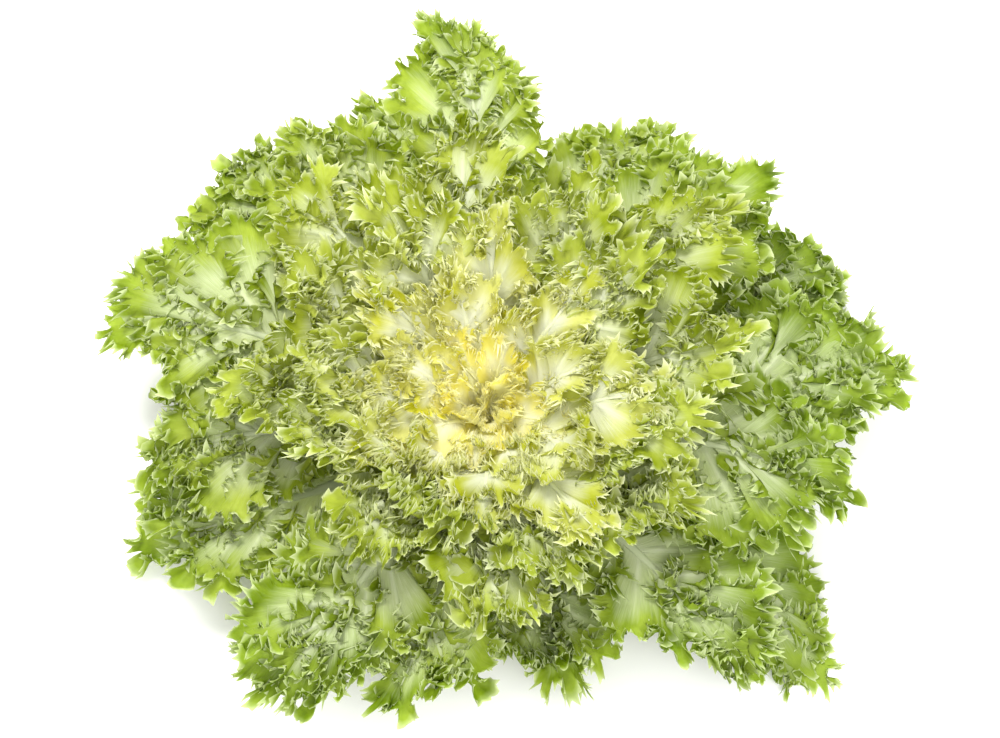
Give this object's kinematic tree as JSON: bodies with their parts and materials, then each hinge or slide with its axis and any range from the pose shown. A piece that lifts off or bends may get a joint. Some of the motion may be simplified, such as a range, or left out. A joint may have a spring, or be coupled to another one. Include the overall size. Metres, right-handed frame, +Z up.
{
  "type": "curly endive head",
  "caption": "Head of curly endive: a rosette of frilly-edged salad leaves growing from a short crown, standing on its flat cut base.",
  "frame": {"origin": "the middle of the flat cut base of the crown, on the surface that the head stands on", "axes": "+Z up out of the heart, +X along the wide way of the open head, +Y towards the side whose leaves stand higher"},
  "size_m": [0.3414, 0.3062, 0.0885],
  "materials": {
    "crown_flesh": "moist pale crown with a dried, browned cut below",
    "outer_leaf": "satin mid-green leaf, translucent, with a whitish midrib",
    "middle_leaf": "satin lime-green leaf, translucent, with a whitish midrib",
    "inner_leaf": "satin pale yellow-green leaf, translucent",
    "heart_leaf": "satin pale yellow blanched leaf, translucent"
  },
  "bodies": {
    "root": {"crown": "crown_flesh", "outer_leaf_01": "outer_leaf", "outer_leaf_02": "outer_leaf", "outer_leaf_03": "outer_leaf", "outer_leaf_04": "outer_leaf", "outer_leaf_05": "outer_leaf", "outer_leaf_06": "outer_leaf", "outer_leaf_07": "outer_leaf", "outer_leaf_08": "outer_leaf", "outer_leaf_09": "outer_leaf", "outer_leaf_10": "outer_leaf", "outer_leaf_11": "outer_leaf", "outer_leaf_12": "outer_leaf", "outer_leaf_13": "outer_leaf", "outer_leaf_14": "outer_leaf", "outer_leaf_15": "outer_leaf", "outer_leaf_16": "outer_leaf", "outer_leaf_17": "outer_leaf", "middle_leaf_01": "middle_leaf", "middle_leaf_02": "middle_leaf", "middle_leaf_03": "middle_leaf", "middle_leaf_04": "middle_leaf", "middle_leaf_05": "middle_leaf", "middle_leaf_06": "middle_leaf", "middle_leaf_07": "middle_leaf", "middle_leaf_08": "middle_leaf", "middle_leaf_09": "middle_leaf", "middle_leaf_10": "middle_leaf", "middle_leaf_11": "middle_leaf", "middle_leaf_12": "middle_leaf", "middle_leaf_13": "middle_leaf", "middle_leaf_14": "middle_leaf", "middle_leaf_15": "middle_leaf", "middle_leaf_16": "middle_leaf", "middle_leaf_17": "middle_leaf", "inner_leaf_01": "inner_leaf", "inner_leaf_02": "inner_leaf", "inner_leaf_03": "inner_leaf", "inner_leaf_04": "inner_leaf", "inner_leaf_05": "inner_leaf", "inner_leaf_06": "inner_leaf", "inner_leaf_07": "inner_leaf", "inner_leaf_08": "inner_leaf", "inner_leaf_09": "inner_leaf", "inner_leaf_10": "inner_leaf", "inner_leaf_11": "inner_leaf", "inner_leaf_12": "inner_leaf", "inner_leaf_13": "inner_leaf", "inner_leaf_14": "inner_leaf", "heart_leaf_01": "heart_leaf", "heart_leaf_02": "heart_leaf", "heart_leaf_03": "heart_leaf", "heart_leaf_04": "heart_leaf", "heart_leaf_05": "heart_leaf", "heart_leaf_06": "heart_leaf", "heart_leaf_07": "heart_leaf", "heart_leaf_08": "heart_leaf", "heart_leaf_09": "heart_leaf", "heart_leaf_10": "heart_leaf"}
  },
  "joints": []
}
